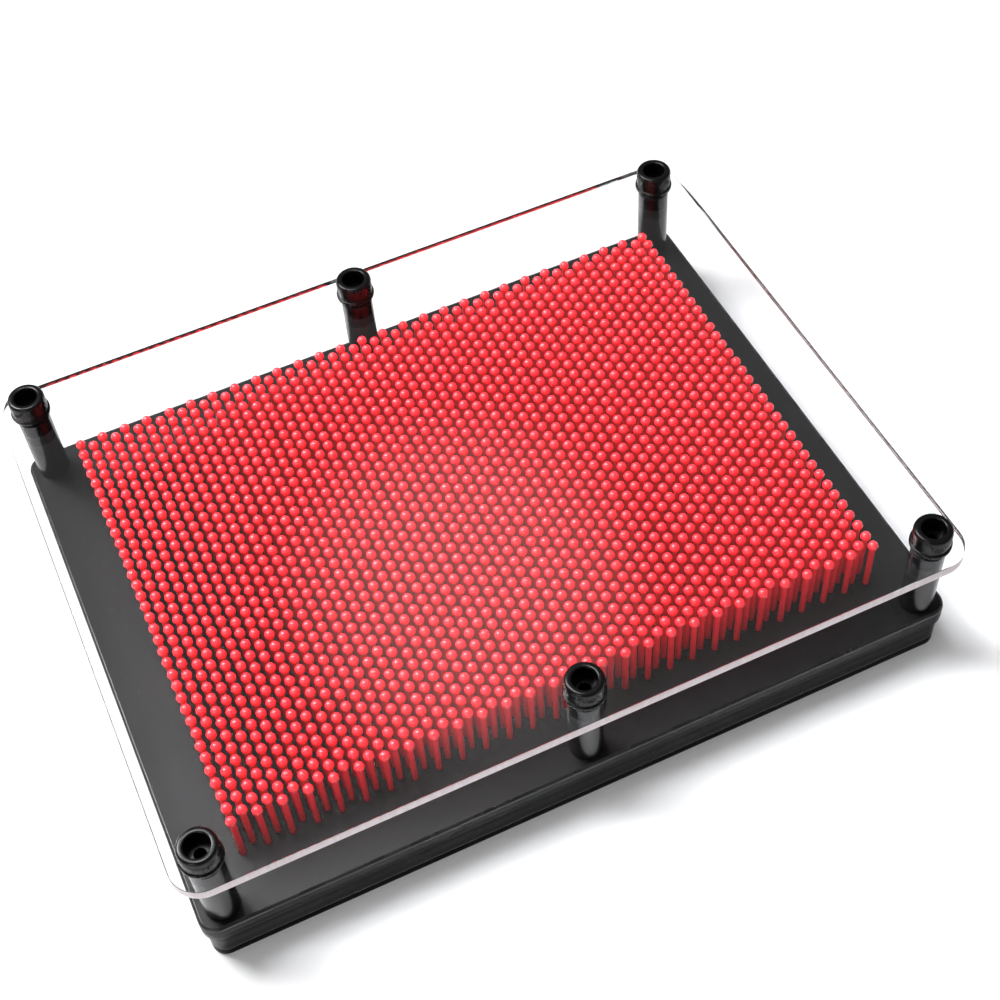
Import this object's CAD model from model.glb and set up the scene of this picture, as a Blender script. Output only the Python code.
import bpy
import bmesh
import math
import random
from mathutils import Matrix, Vector


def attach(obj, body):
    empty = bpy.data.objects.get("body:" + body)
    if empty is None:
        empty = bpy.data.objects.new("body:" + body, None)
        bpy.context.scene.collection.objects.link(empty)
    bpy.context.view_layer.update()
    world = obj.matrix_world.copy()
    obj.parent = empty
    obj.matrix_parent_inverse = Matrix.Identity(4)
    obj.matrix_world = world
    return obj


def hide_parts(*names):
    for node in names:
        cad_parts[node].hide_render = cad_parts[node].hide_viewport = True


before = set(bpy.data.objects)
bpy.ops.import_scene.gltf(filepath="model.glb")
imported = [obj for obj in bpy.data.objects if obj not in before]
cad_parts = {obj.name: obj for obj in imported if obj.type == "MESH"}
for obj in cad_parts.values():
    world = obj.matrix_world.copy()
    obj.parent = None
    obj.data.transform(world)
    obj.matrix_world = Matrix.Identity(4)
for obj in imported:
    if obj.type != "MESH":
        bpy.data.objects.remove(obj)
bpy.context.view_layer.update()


# The back frame: a black moulded ring that stands on the table. It carries a
# flange, and the groove under that leaves a shadow line. A fine line near
# its foot marks where its mould opened. Inside, a ledge runs all round.
MM = 0.001


def rounded_outline(bm, length, width, radius, height, corner_steps=8):
    """A closed loop of edges in millimetres: a rectangle with round corners."""
    made = bmesh.ops.create_grid(bm, x_segments=1, y_segments=1, size=0.5)["verts"]
    bmesh.ops.scale(bm, vec=(length * MM, width * MM, 1), verts=made)
    bmesh.ops.translate(bm, vec=(0, 0, height * MM), verts=made)
    rounded = bmesh.ops.bevel(bm, geom=made, offset=radius * MM, segments=corner_steps,
                              profile=0.5, affect="VERTICES", material=-1)
    outline = {e for v in rounded["verts"] for e in v.link_edges}
    faces = {f for e in outline for f in e.link_faces}
    bmesh.ops.delete(bm, geom=list(faces), context="FACES_ONLY")
    return list(outline)


def ring_of_outlines(bm, outlines, apart=9):
    """A closed ring: each outline is joined to the next, and the last to the first.

    The outlines are (length, width, radius, height). They are joined while they
    lie well apart, one above the other. Then each slides to its own height.
    """
    loops = [rounded_outline(bm, *sizes[:3], apart * k) for k, sizes in enumerate(outlines)]
    for here, there in zip(loops, loops[1:] + loops[:1]):
        bmesh.ops.bridge_loops(bm, edges=here + there)
    for k, (loop, sizes) in enumerate(zip(loops, outlines)):
        bmesh.ops.translate(bm, vec=(0, 0, (sizes[3] - apart * k) * MM),
                            verts=list({v for e in loop for v in e.verts}))
    bmesh.ops.recalc_face_normals(bm, faces=bm.faces)


def piece(name, bm, sharp=40, flat_level=True):
    """The finished mesh as an object, smooth across edges that turn less than sharp.

    With flat_level, the faces that lie level stay flat up to their rims.
    """
    mesh = bpy.data.meshes.new(name)
    bm.normal_update()
    bm.to_mesh(mesh)
    bm.free()
    mesh.shade_smooth()
    mesh.set_sharp_from_angle(angle=math.radians(sharp))
    if flat_level:
        for face in mesh.polygons:
            if abs(face.normal.z) > 0.999:
                face.use_smooth = False
    thing = bpy.data.objects.new(name, mesh)
    bpy.context.scene.collection.objects.link(thing)
    return thing


def linear(code, alpha=1.0):
    """An sRGB hex colour as linear light."""
    parts = [int(code[i:i + 2], 16) / 255 for i in (1, 3, 5)]
    return tuple(p / 12.92 if p <= 0.04045 else ((p + 0.055) / 1.055) ** 2.4
                 for p in parts) + (alpha,)


def add(tree, kind, settings=None, **inputs):
    """One node, with plain settings, and inputs given as values or sockets."""
    node = tree.nodes.new("ShaderNode" + kind)
    for key, value in (settings or {}).items():
        setattr(node, key, value)
    for key, value in inputs.items():
        socket = node.inputs[int(key[1:]) if key[0] == "i" and key[1:].isdigit()
                             else key.replace("_", " ")]
        if isinstance(value, bpy.types.NodeSocket):
            tree.links.new(value, socket)
        else:
            socket.default_value = value
    return node


def finish_named(name):
    """A new material with an empty tree, and its output node."""
    finish = bpy.data.materials.new(name)
    finish.use_nodes = True
    finish.node_tree.nodes.clear()
    return finish, finish.node_tree, add(finish.node_tree, "OutputMaterial")


# ABS, moulded: deep black and quiet, with wide shallow sink marks. The dust on
# it is finer than this, and is drawn 0.9 mm coarse so that it shows.
black_abs, tree, out = finish_named("moulded_black_abs")
place = add(tree, "TexCoord").outputs["Object"]
sinks = add(tree, "TexNoise", Vector=place, Scale=1 / (22 * MM), Detail=1.0)
dust = add(tree, "TexNoise", Vector=place, Scale=1 / (0.9 * MM), Detail=2.0)
specks = add(tree, "MapRange", Value=dust.outputs["Fac"], From_Min=0.7, From_Max=0.8,
             To_Min=0.0, To_Max=1.0)
gloss = add(tree, "MapRange", Value=sinks.outputs["Fac"], From_Min=0.3, From_Max=0.7,
            To_Min=0.24, To_Max=0.34)
coat = add(tree, "Mix", {"data_type": "RGBA"}, Factor=specks.outputs["Result"],
           i6=linear("#050506"), i7=linear("#161617"))
bend = add(tree, "Bump", Height=sinks.outputs["Fac"], Strength=0.08, Distance=0.4 * MM)
skin = add(tree, "BsdfPrincipled", Base_Color=coat.outputs[2], IOR=1.5,
           Roughness=gloss.outputs["Result"], Normal=bend.outputs["Normal"])
skin.inputs["Specular IOR Level"].default_value = 0.07
tree.links.new(skin.outputs[0], out.inputs["Surface"])

# The same ABS where hands have rubbed its rims: smoother, so it catches the light.
rubbed, tree, out = finish_named("rubbed_black_rim")
place = add(tree, "TexCoord").outputs["Object"]
wear = add(tree, "TexNoise", Vector=place, Scale=1 / (6 * MM), Detail=3.0)
shine = add(tree, "MapRange", Value=wear.outputs["Fac"], From_Min=0.35, From_Max=0.65,
            To_Min=0.34, To_Max=0.2)
skin = add(tree, "BsdfPrincipled", Base_Color=linear("#0C0C0D"), IOR=1.5,
           Roughness=shine.outputs["Result"])
skin.inputs["Specular IOR Level"].default_value = 0.7
tree.links.new(skin.outputs[0], out.inputs["Surface"])


def rub(thing, heights, reach=0.45):
    """The rubbed finish for the slanting faces within reach of these heights."""
    thing.data.materials.append(rubbed)
    for face in thing.data.polygons:
        if 0.05 < abs(face.normal.z) < 0.98 and any(
                abs(face.center.z - z * MM) < reach * MM for z in heights):
            face.material_index = 1


# Each outline is a length, a width and a corner radius, in millimetres as all
# sizes here are. The other values are heights above the table and depths.
FRAME = (194.4, 149.9, 3.7)
FLANGE = (196, 151.5, 4.5)
POCKET = (190.8, 146.3, 3.2)
OPENING = (173.6, 128.3, 3)
FRAME_EDGE, FLANGE_EDGE, FLANGE_STEP = 0.3, 0.35, 0.1
MOULD_LINE, MOULD_LINE_DEPTH, MOULD_LINE_HALF = 2.8, 0.14, 0.18
GROOVE_LOW, GROOVE_HIGH, GROOVE_DEPTH = 9.4, 10, 0.6
LEDGE, FRAME_TOP = 5.2, 12


def set_in(outline, depth):
    """The same outline, drawn in all round by a depth."""
    return tuple(side - 2 * depth for side in outline[:2]) + (outline[2] - depth,)


bm = bmesh.new()
ring_of_outlines(bm, [
    set_in(FRAME, FRAME_EDGE) + (0,),
    FRAME + (FRAME_EDGE,),
    FRAME + (MOULD_LINE - MOULD_LINE_HALF,),
    set_in(FRAME, MOULD_LINE_DEPTH) + (MOULD_LINE,),
    FRAME + (MOULD_LINE + MOULD_LINE_HALF,),
    FRAME + (GROOVE_LOW - FRAME_EDGE,),
    set_in(FRAME, FRAME_EDGE) + (GROOVE_LOW,),
    set_in(FRAME, GROOVE_DEPTH) + (GROOVE_LOW,),
    set_in(FRAME, GROOVE_DEPTH) + (GROOVE_HIGH,),
    set_in(FLANGE, FLANGE_EDGE) + (GROOVE_HIGH,),
    set_in(FLANGE, FLANGE_STEP) + (GROOVE_HIGH + FLANGE_STEP,),
    FLANGE + (GROOVE_HIGH + FLANGE_EDGE,),
    FLANGE + (FRAME_TOP,),
    OPENING + (FRAME_TOP,),
    OPENING + (LEDGE,),
    POCKET + (LEDGE,),
    POCKET + (0,)])
back_frame = piece("back_frame_ring", bm)
back_frame.data.materials.append(black_abs)
rub(back_frame, (MOULD_LINE, GROOVE_HIGH + 0.2))
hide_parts("back_frame")
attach(back_frame, "frame")

# The two guide plates: black sheets drilled with one hole for every pin, a
# staggered field of 55 columns. One lies inside the frame, against its ledge.
# The other lies on the frame, flush with the flange.
PITCH, COLUMNS, ROWS = 3.55, 55, 35
COLUMN_STEP = PITCH * math.sqrt(3) / 2
POST_X, POST_Y = 91.5, 70
LOWER_SHEET, LOWER_SHEET_FOOT, LOWER_SHEET_EDGE = (190.4, 145.9, 3), 2.8, 0.1
UPPER_SHEET_TOP, UPPER_SHEET_EDGE = 15, 0.8
PIN_HOLE_RADIUS, SCREW_HOLE_RADIUS = 1.1, 1.5


def pin_place(column, row):
    """The middle of one pin: every second column has one row less, half a pitch on."""
    return ((column - (COLUMNS - 1) / 2) * COLUMN_STEP,
            (row - (ROWS - column % 2 - 1) / 2) * PITCH)


pin_places = [pin_place(c, r) for c in range(COLUMNS) for r in range(ROWS - c % 2)]
post_places = [(x, y) for y in (POST_Y, -POST_Y) for x in (-POST_X, 0, POST_X)]


def rounded_slab(bm, outline, low, high, edges, corner_steps):
    """A closed slab with round corners: edges says how far each rim is softened."""
    length, width, radius = outline
    made = bmesh.ops.create_cube(bm, size=1)["verts"]
    bmesh.ops.scale(bm, vec=(length * MM, width * MM, (high - low) * MM), verts=made)
    bmesh.ops.translate(bm, vec=(0, 0, (low + high) / 2 * MM), verts=made)
    upright = {e for v in made for e in v.link_edges
               if abs(e.verts[0].co.z - e.verts[1].co.z) > 0.1 * MM}
    bmesh.ops.bevel(bm, geom=list(upright), offset=radius * MM, segments=corner_steps,
                    profile=0.5, affect="EDGES", material=-1)
    for height, edge in zip((low, high), edges):
        rim = [e for e in bm.edges if edge > 0
               and all(abs(v.co.z - height * MM) < 1e-6 for v in e.verts)]
        bmesh.ops.bevel(bm, geom=rim, offset=edge * MM, segments=3, profile=0.5,
                        affect="EDGES", material=-1)


def level_face(bm, z, up):
    """The face that lies level at height z and looks up or down."""
    bm.normal_update()
    return max((f for f in bm.faces if f.normal.z * up > 0.99
                and abs(f.calc_center_median().z - z * MM) < 1e-6),
               key=lambda f: f.calc_area())


def drilled_slab(bm, outline, low, high, edges, holes, corner_steps=8):
    """A rounded slab with round holes through it: holes lists (places, radius, sides)."""
    rounded_slab(bm, outline, low, high, edges, corner_steps)
    top, foot = level_face(bm, high, 1), level_face(bm, low, -1)
    above, below = list(top.edges), list(foot.edges)
    bmesh.ops.delete(bm, geom=[top, foot], context="FACES_ONLY")
    mouths = []
    for places, hole_radius, sides in holes:
        ring = bmesh.ops.create_circle(bm, cap_ends=False, segments=sides,
                                       radius=hole_radius * MM)["verts"]
        round_edges = list({e for v in ring for e in v.link_edges})
        for x, y in places:
            copy = bmesh.ops.duplicate(bm, geom=ring + round_edges)["geom"]
            bmesh.ops.translate(bm, vec=(x * MM, y * MM, high * MM),
                                verts=[g for g in copy if isinstance(g, bmesh.types.BMVert)])
            mouths += [g for g in copy if isinstance(g, bmesh.types.BMEdge)]
        bmesh.ops.delete(bm, geom=ring, context="VERTS")
    bmesh.ops.triangle_fill(bm, edges=above + mouths, use_beauty=False, normal=(0, 0, 1))
    walls = bmesh.ops.extrude_edge_only(bm, edges=mouths)["geom"]
    ends = {g for g in walls if isinstance(g, bmesh.types.BMVert)}
    bmesh.ops.translate(bm, vec=(0, 0, (low - high) * MM), verts=list(ends))
    exits = [g for g in walls if isinstance(g, bmesh.types.BMEdge)
             and g.verts[0] in ends and g.verts[1] in ends]
    bmesh.ops.triangle_fill(bm, edges=below + exits, use_beauty=False, normal=(0, 0, -1))
    bmesh.ops.recalc_face_normals(bm, faces=bm.faces)


guide_holes = [(pin_places, PIN_HOLE_RADIUS, 8), (post_places, SCREW_HOLE_RADIUS, 16)]

bm = bmesh.new()
drilled_slab(bm, LOWER_SHEET, LOWER_SHEET_FOOT, LEDGE, (LOWER_SHEET_EDGE, LOWER_SHEET_EDGE),
             guide_holes)
lower_plate = piece("lower_guide_sheet", bm, sharp=50)
lower_plate.data.materials.append(black_abs)
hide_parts("lower_guide_plate")
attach(lower_plate, "frame")

# ABS sheet, rolled to a satin: broad soft reflections, with scuffs from handling.
satin_sheet, tree, out = finish_named("satin_black_sheet")
place = add(tree, "TexCoord").outputs["Object"]
scuffs = add(tree, "TexNoise", Vector=place, Scale=1 / (14 * MM), Detail=3.0)
silk = add(tree, "MapRange", Value=scuffs.outputs["Fac"], From_Min=0.3, From_Max=0.7,
           To_Min=0.40, To_Max=0.46)
skin = add(tree, "BsdfPrincipled", Base_Color=linear("#0D0D0E"), IOR=1.5,
           Roughness=silk.outputs["Result"])
skin.inputs["Specular IOR Level"].default_value = 0.19
tree.links.new(skin.outputs[0], out.inputs["Surface"])

bm = bmesh.new()
drilled_slab(bm, FLANGE, FRAME_TOP, UPPER_SHEET_TOP, (0, UPPER_SHEET_EDGE), guide_holes)
upper_plate = piece("upper_guide_sheet", bm, sharp=50)
upper_plate.data.materials.append(satin_sheet)
rub(upper_plate, (UPPER_SHEET_TOP - UPPER_SHEET_EDGE / 2,))
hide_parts("upper_guide_plate")
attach(upper_plate, "frame")

# Six zinc-plated steel screws clamp the stack from below. Their plating is dull.
# Its fine turning marks are drawn 0.25 mm coarse so that they show.
zinc, tree, out = finish_named("zinc_plated_steel")
place = add(tree, "TexCoord").outputs["Object"]
turning = add(tree, "TexNoise", Vector=place, Scale=1 / (0.25 * MM), Detail=1.0)
dull = add(tree, "MapRange", Value=turning.outputs["Fac"], From_Min=0.3, From_Max=0.7,
           To_Min=0.28, To_Max=0.42)
skin = add(tree, "BsdfPrincipled", Base_Color=linear("#B9BBBE"), Metallic=1.0,
           Roughness=dull.outputs["Result"])
tree.links.new(skin.outputs[0], out.inputs["Surface"])
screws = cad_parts["post_screws"]
screws.data.materials.clear()
screws.data.materials.append(zinc)

# Six turned posts hold the clear plate off the base. Each is black plastic
# with a satin gloss, bored at the top for its cap and below for its screw.
# The grain of the turning is drawn 0.5 mm coarse so that it shows.
POST_NAMES = ["back_left", "back_middle", "back_right",
              "front_left", "front_middle", "front_right"]
turned, tree, out = finish_named("satin_black_plastic")
place = add(tree, "TexCoord").outputs["Object"]
grain = add(tree, "TexNoise", Vector=place, Scale=1 / (0.5 * MM), Detail=2.0)
satin = add(tree, "MapRange", Value=grain.outputs["Fac"], From_Min=0.3, From_Max=0.7,
            To_Min=0.16, To_Max=0.26)
fine = add(tree, "Bump", Height=grain.outputs["Fac"], Strength=0.05, Distance=0.05 * MM)
skin = add(tree, "BsdfPrincipled", Base_Color=linear("#0B0B0C"), IOR=1.5,
           Roughness=satin.outputs["Result"], Normal=fine.outputs["Normal"])
tree.links.new(skin.outputs[0], out.inputs["Surface"])


def turned_part(bm, profile, steps):
    """Spins a closed outline of (radius, height) in millimetres into a solid."""
    points = [bm.verts.new((r * MM, 0, z * MM)) for r, z in profile]
    lines = [bm.edges.new((points[i], points[i - 1])) for i in range(len(points))
             if profile[i][0] > 0 or profile[i - 1][0] > 0]
    bmesh.ops.spin(bm, geom=points + lines, cent=(0, 0, 0), axis=(0, 0, 1),
                   angle=2 * math.pi, steps=steps, use_merge=True)
    bmesh.ops.remove_doubles(bm, verts=bm.verts, dist=1e-6)
    bmesh.ops.recalc_face_normals(bm, faces=bm.faces)


POST_RADIUS, POST_EDGE, POST_TOP = 4.2, 0.2, 36.5
CAP_BORE_RADIUS, CAP_BORE_FLOOR = 2.8, 27.5
SCREW_BORE_RADIUS, SCREW_BORE_END = 1.33, 25
POST_OUTLINE = [(SCREW_BORE_RADIUS, UPPER_SHEET_TOP),
                (POST_RADIUS - POST_EDGE, UPPER_SHEET_TOP),
                (POST_RADIUS, UPPER_SHEET_TOP + POST_EDGE),
                (POST_RADIUS, POST_TOP - POST_EDGE),
                (POST_RADIUS - POST_EDGE, POST_TOP),
                (CAP_BORE_RADIUS, POST_TOP),
                (CAP_BORE_RADIUS, CAP_BORE_FLOOR),
                (0, CAP_BORE_FLOOR),
                (0, SCREW_BORE_END),
                (SCREW_BORE_RADIUS, SCREW_BORE_END)]
for name, (x, y) in zip(POST_NAMES, post_places):
    bm = bmesh.new()
    turned_part(bm, POST_OUTLINE, 32)
    bmesh.ops.translate(bm, vec=(x * MM, y * MM, 0), verts=bm.verts)
    post = piece("turned_post_" + name, bm, flat_level=False)
    post.data.materials.append(turned)
    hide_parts("post_" + name)
    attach(post, "frame")

# The pins: 1898 red injection-moulded polystyrene pins with ball heads. They
# sit loose in their holes, so every one leans its own small way, and their
# tails rest on the table. They move in blocks of neighbours.

# Polystyrene, moulded: bright red and glossy. A faint glow stands for the light
# that scatters inside it. Its fine texture is drawn 0.45 mm coarse to show.
pin_red, tree, out = finish_named("moulded_red_polystyrene")
place = add(tree, "TexCoord").outputs["Object"]
batch = add(tree, "TexNoise", Vector=place, Scale=1 / (9 * MM), Detail=1.0)
pebble = add(tree, "TexNoise", Vector=place, Scale=1 / (0.45 * MM), Detail=1.0)
tone = add(tree, "Mix", {"data_type": "RGBA"}, Factor=batch.outputs["Fac"],
           i6=linear("#F9202F"), i7=linear("#FE2D3A"))
peel = add(tree, "Bump", Height=pebble.outputs["Fac"], Strength=0.35, Distance=0.1 * MM)
skin = add(tree, "BsdfPrincipled", Base_Color=tone.outputs[2], IOR=1.59, Roughness=0.32,
           Normal=peel.outputs["Normal"], Emission_Color=linear("#FF1A28"),
           Emission_Strength=0.05)
tree.links.new(skin.outputs[0], out.inputs["Surface"])

PIN_LENGTH, SHAFT_RADIUS, BALL_RADIUS = 31.4, 0.8, 1.35
HEAD_BANDS, PIN_SIDES = 5, 8
BLOCK_LETTERS, BLOCK_COLUMNS, BLOCK_ROWS = "abcde", 11, 9
# A pin leans about a point between its two guides, by up to 0.15 mm at its head.
LEAN_HEIGHT, MOST_LEAN = 9.0, 0.15 / 21
neck = math.asin(SHAFT_RADIUS / BALL_RADIUS)
head_angles = [neck + (math.pi - neck) * k / HEAD_BANDS for k in range(HEAD_BANDS)]
ball_height = PIN_LENGTH - BALL_RADIUS
PIN_OUTLINE = [(0, 0), (SHAFT_RADIUS, SHAFT_RADIUS / 2)] + [
    (BALL_RADIUS * math.sin(a), ball_height - BALL_RADIUS * math.cos(a))
    for a in head_angles] + [(0, PIN_LENGTH)]
one_pin = bmesh.new()
turned_part(one_pin, PIN_OUTLINE, PIN_SIDES)
pin_mesh = bpy.data.meshes.new("one_pin")
one_pin.to_mesh(pin_mesh)
one_pin.free()
blocks = {}
for c in range(COLUMNS):
    for r in range(ROWS - c % 2):
        block = BLOCK_LETTERS[c // BLOCK_COLUMNS] + str(r // BLOCK_ROWS + 1)
        first_row = r // BLOCK_ROWS * BLOCK_ROWS
        last_row = min(first_row + BLOCK_ROWS, ROWS - c % 2) - 1
        at_rim = c % BLOCK_COLUMNS in (0, BLOCK_COLUMNS - 1) or r in (first_row, last_row)
        blocks.setdefault((block, "outer" if at_rim else "inner"), []).append((c, r))
chance = random.Random(7)
pivot = Vector((0, 0, LEAN_HEIGHT * MM))
for (block, ring), members in blocks.items():
    bm = bmesh.new()
    for c, r in members:
        x, y = pin_place(c, r)
        way, lean = chance.uniform(0, 2 * math.pi), MOST_LEAN * math.sqrt(chance.random())
        before = len(bm.verts)
        bm.from_mesh(pin_mesh)
        bm.verts.ensure_lookup_table()
        tilt = Matrix.Identity(4)
        tilt[0][2], tilt[1][2] = lean * math.cos(way), lean * math.sin(way)
        bmesh.ops.transform(
            bm, verts=bm.verts[before:],
            matrix=Matrix.Translation((x * MM, y * MM, 0)) @ Matrix.Translation(pivot) @ tilt
            @ Matrix.Translation(-pivot) @ Matrix.Rotation(chance.uniform(0, 6), 4, "Z"))
    pins = piece("red_pins_" + block + "_" + ring, bm, sharp=75, flat_level=False)
    pins.data.materials.append(pin_red)
    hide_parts("pins_" + block + "_" + ring)
    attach(pins, "pins_" + block)

# The front plate: a 3 mm cast acrylic sheet with round corners and six holes,
# which lies on the posts. Its faces are polished and its sawn edges are matt.
def clear_shader(tree):
    """Acrylic that bends what is seen through it and lets the lamps' light pass."""
    body = add(tree, "BsdfPrincipled", Base_Color=linear("#FDFDFE"), Roughness=0.0, IOR=1.49)
    body.inputs["Transmission Weight"].default_value = 1.0
    passing = add(tree, "BsdfTransparent", Color=linear("#F4F5F6"))
    ray = add(tree, "LightPath")
    return add(tree, "MixShader", Fac=ray.outputs["Is Shadow Ray"], i1=body.outputs[0],
               i2=passing.outputs[0])


# Cast acrylic, polished: quite clear, with a sharp reflection of the room.
acrylic, tree, out = finish_named("polished_cast_acrylic")
tree.links.new(clear_shader(tree).outputs[0], out.inputs["Surface"])

# Cast acrylic, sawn: it glows pale from outside. From inside the plate it stays
# clear, so it mirrors the dark base. Its saw marks are drawn 1.5 mm coarse.
sawn, tree, out = finish_named("sawn_acrylic_edge")
place = add(tree, "TexCoord").outputs["Object"]
stretch = add(tree, "Mapping", Vector=place, Scale=(1.0, 1.0, 0.12))
teeth = add(tree, "TexNoise", Vector=stretch.outputs["Vector"], Scale=1 / (1.5 * MM), Detail=2.0)
pale = add(tree, "Mix", {"data_type": "RGBA"}, Factor=teeth.outputs["Fac"],
           i6=linear("#CDBFC4"), i7=linear("#EFE6E9"))
frost = add(tree, "BsdfPrincipled", Base_Color=pale.outputs[2], Roughness=0.45, IOR=1.49)
side = add(tree, "NewGeometry")
edge_mix = add(tree, "MixShader", Fac=side.outputs["Backfacing"], i1=frost.outputs[0],
               i2=clear_shader(tree).outputs[0])
tree.links.new(edge_mix.outputs[0], out.inputs["Surface"])

PLATE, PLATE_TOP, PLATE_EDGE, CAP_HOLE_RADIUS = (199, 156, 7.5), 39.5, 0.15, 3.02
bm = bmesh.new()
drilled_slab(bm, PLATE, POST_TOP, PLATE_TOP, (PLATE_EDGE, PLATE_EDGE),
             [(post_places, CAP_HOLE_RADIUS, 32)], corner_steps=12)
front_plate = piece("clear_front_plate", bm)
front_plate.data.materials.append(acrylic)
front_plate.data.materials.append(sawn)
half_length, half_width, corner = (size * MM for size in (PLATE[0] / 2, PLATE[1] / 2, PLATE[2]))
for face in front_plate.data.polygons:
    x, y = abs(face.center.x), abs(face.center.y)
    past_x, past_y = x - (half_length - corner), y - (half_width - corner)
    on_side = x > half_length - 0.5 * MM or y > half_width - 0.5 * MM
    on_corner = past_x > 0 and past_y > 0 and math.hypot(past_x, past_y) > corner - 0.3 * MM
    if abs(face.normal.z) < 0.3 and (on_side or on_corner):
        face.material_index = 1
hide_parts("front_plate")
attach(front_plate, "frame")

# Six caps close the posts: glossy black tubes with a soft top rim and a
# thin collar. The spigot under each goes through the plate into its post.
glossy, tree, out = finish_named("glossy_black_cap")
place = add(tree, "TexCoord").outputs["Object"]
swirl = add(tree, "TexNoise", Vector=place, Scale=1 / (2.5 * MM), Detail=2.0)
gleam = add(tree, "MapRange", Value=swirl.outputs["Fac"], From_Min=0.3, From_Max=0.7,
            To_Min=0.2, To_Max=0.3)
skin = add(tree, "BsdfPrincipled", Base_Color=linear("#060607"), IOR=1.5,
           Roughness=gleam.outputs["Result"])
skin.inputs["Specular IOR Level"].default_value = 0.28
tree.links.new(skin.outputs[0], out.inputs["Surface"])

SPIGOT_RADIUS, SPIGOT_BORE_RADIUS, SPIGOT_FOOT = 2.77, 1.5, 29.5
COLLAR_RADIUS, CAP_RADIUS, CAP_TOP = 5.1, 4.75, 45.4
SOCKET_RADIUS, SOCKET_FLOOR = 2.95, 41.0
CAP_OUTLINE = [
    (SPIGOT_BORE_RADIUS, SPIGOT_FOOT), (SPIGOT_RADIUS, SPIGOT_FOOT), (SPIGOT_RADIUS, PLATE_TOP),
    # the collar
    (COLLAR_RADIUS - 0.12, PLATE_TOP), (COLLAR_RADIUS, PLATE_TOP + 0.12),
    (COLLAR_RADIUS, PLATE_TOP + 0.9), (COLLAR_RADIUS - 0.15, PLATE_TOP + 1.05),
    # the wall and its soft top rim
    (CAP_RADIUS, PLATE_TOP + 1.1), (CAP_RADIUS, CAP_TOP - 0.95), (CAP_RADIUS - 0.1, CAP_TOP - 0.5),
    (CAP_RADIUS - 0.33, CAP_TOP - 0.16), (CAP_RADIUS - 0.65, CAP_TOP),
    # the open socket
    (SOCKET_RADIUS + 0.35, CAP_TOP), (SOCKET_RADIUS + 0.1, CAP_TOP - 0.12),
    (SOCKET_RADIUS, CAP_TOP - 0.4), (SOCKET_RADIUS, SOCKET_FLOOR),
    (SPIGOT_BORE_RADIUS, SOCKET_FLOOR)]
for name, (x, y) in zip(POST_NAMES, post_places):
    bm = bmesh.new()
    turned_part(bm, CAP_OUTLINE, 40)
    bmesh.ops.translate(bm, vec=(x * MM, y * MM, 0), verts=bm.verts)
    cap = piece("moulded_cap_" + name, bm, sharp=45, flat_level=False)
    cap.data.materials.append(glossy)
    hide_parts("cap_" + name)
    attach(cap, "frame")

# The set: a white table, a soft lamp behind and to the left, another above, a
# weak one in front, and a dim room with one pale patch on its ceiling.
def in_sight(tree):
    """The light path, and 1 where the eye looks straight, by a mirror or through glass."""
    path = add(tree, "LightPath")
    direct = add(tree, "Math", {"operation": "MAXIMUM"}, i0=path.outputs["Is Camera Ray"],
                 i1=path.outputs["Is Glossy Ray"])
    return path, add(tree, "Math", {"operation": "MAXIMUM"}, i0=direct.outputs[0],
                     i1=path.outputs["Is Transmission Ray"])


bpy.ops.mesh.primitive_plane_add(size=6)
table = bpy.context.object
table.name = "white_table"
paper, tree, out = finish_named("white_table_top")
path, sight = in_sight(tree)
matt = add(tree, "BsdfDiffuse", Color=linear("#F2F2F3"))
glow = add(tree, "Emission", Color=linear("#FFFFFF"), Strength=0.06)
lifted = add(tree, "AddShader", i0=matt.outputs[0], i1=glow.outputs[0])
surface = add(tree, "MixShader", Fac=sight.outputs[0], i1=matt.outputs[0], i2=lifted.outputs[0])
tree.links.new(surface.outputs[0], out.inputs["Surface"])
table.data.materials.append(paper)

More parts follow.
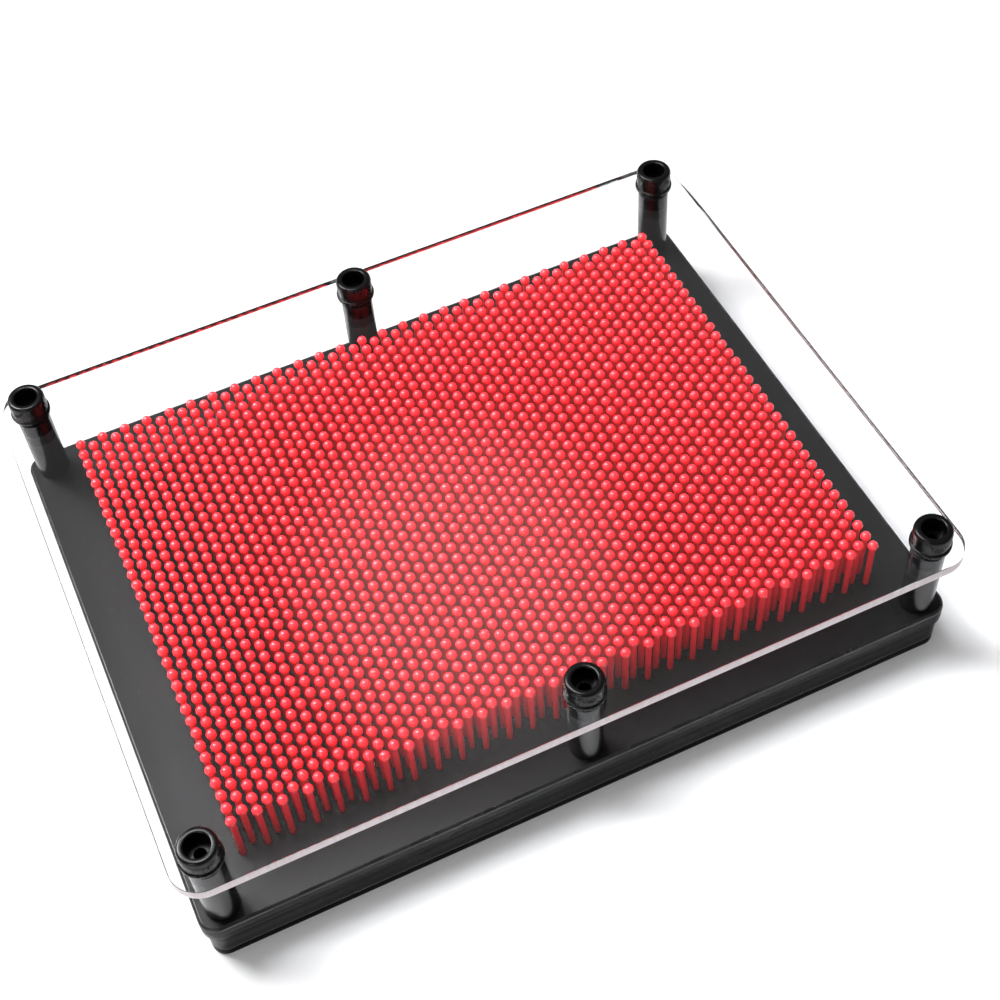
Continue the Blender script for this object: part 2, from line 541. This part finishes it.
room = bpy.data.worlds.new("pale_room")
bpy.context.scene.world = room
room.use_nodes = True
tree = room.node_tree
tree.nodes.clear()
out = add(tree, "OutputWorld")
path, sight = in_sight(tree)
PALE_PATCH_WAY = Vector((0.175, 0.534, 0.828)).normalized()
heading = add(tree, "TexCoord").outputs["Generated"]
spot = add(tree, "VectorMath", {"operation": "DOT_PRODUCT"}, i0=heading, i1=PALE_PATCH_WAY)
dim = add(tree, "MapRange", {"interpolation_type": "SMOOTHSTEP"}, Value=spot.outputs["Value"],
          From_Min=0.9925, From_Max=1.0, To_Min=0.24, To_Max=0.92)
shown = add(tree, "Mix", {"data_type": "FLOAT"}, Factor=path.outputs["Is Camera Ray"],
            i2=dim.outputs["Result"], i3=1.0)
level = add(tree, "Mix", {"data_type": "FLOAT"}, Factor=sight.outputs[0],
            i2=0.25, i3=shown.outputs[0])
sky = add(tree, "Background", Color=linear("#FFFFFF"), Strength=level.outputs[0])
tree.links.new(sky.outputs[0], out.inputs["Surface"])


def soft_lamp(name, size, power, where):
    """A round lamp that faces the toy: its width in metres, and its power in watts."""
    lamp = bpy.data.lights.new(name, "AREA")
    lamp.shape, lamp.size, lamp.energy = "DISK", size, power
    stand = bpy.data.objects.new(name, lamp)
    stand.location = where
    stand.rotation_euler = (-Vector(where)).to_track_quat("-Z", "Y").to_euler()
    bpy.context.scene.collection.objects.link(stand)


soft_lamp("soft_lamp_behind", 0.40, 10.0, (-0.44, 0.46, 0.76))
soft_lamp("soft_lamp_above", 0.30, 4.0, (-0.12, 0.22, 0.95))
soft_lamp("soft_lamp_front", 0.30, 0.8, (-0.55, -0.45, 0.35))

# The camera looks steeply down from the front, a little from the left, and is
# held slightly askew. Roll turns it about its line of sight.
TARGET, DISTANCE = Vector((10.9, 1.87, 20.0)) * MM, 438.2 * MM
LENS, SENSOR = 60.58, 36
AZIMUTH, ELEVATION, ROLL = (math.radians(a) for a in (-110.80, 52.77, -4.95))
away = Vector((math.cos(ELEVATION) * math.cos(AZIMUTH), math.cos(ELEVATION) * math.sin(AZIMUTH),
               math.sin(ELEVATION)))
right = (-away).cross(Vector((0, 0, 1))).normalized()
up = right.cross(-away)
right, up = (math.cos(ROLL) * right + math.sin(ROLL) * up,
             math.cos(ROLL) * up - math.sin(ROLL) * right)
eye = bpy.data.cameras.new("eye")
eye.lens, eye.sensor_width, eye.clip_start = LENS, SENSOR, 0.01
camera = bpy.data.objects.new("eye", eye)
turn = Matrix((right, up, away)).transposed().to_4x4()
camera.matrix_world = Matrix.Translation(TARGET + away * DISTANCE) @ turn
bpy.context.scene.collection.objects.link(camera)
bpy.context.scene.camera = camera
bpy.context.scene.view_settings.view_transform = "Standard"
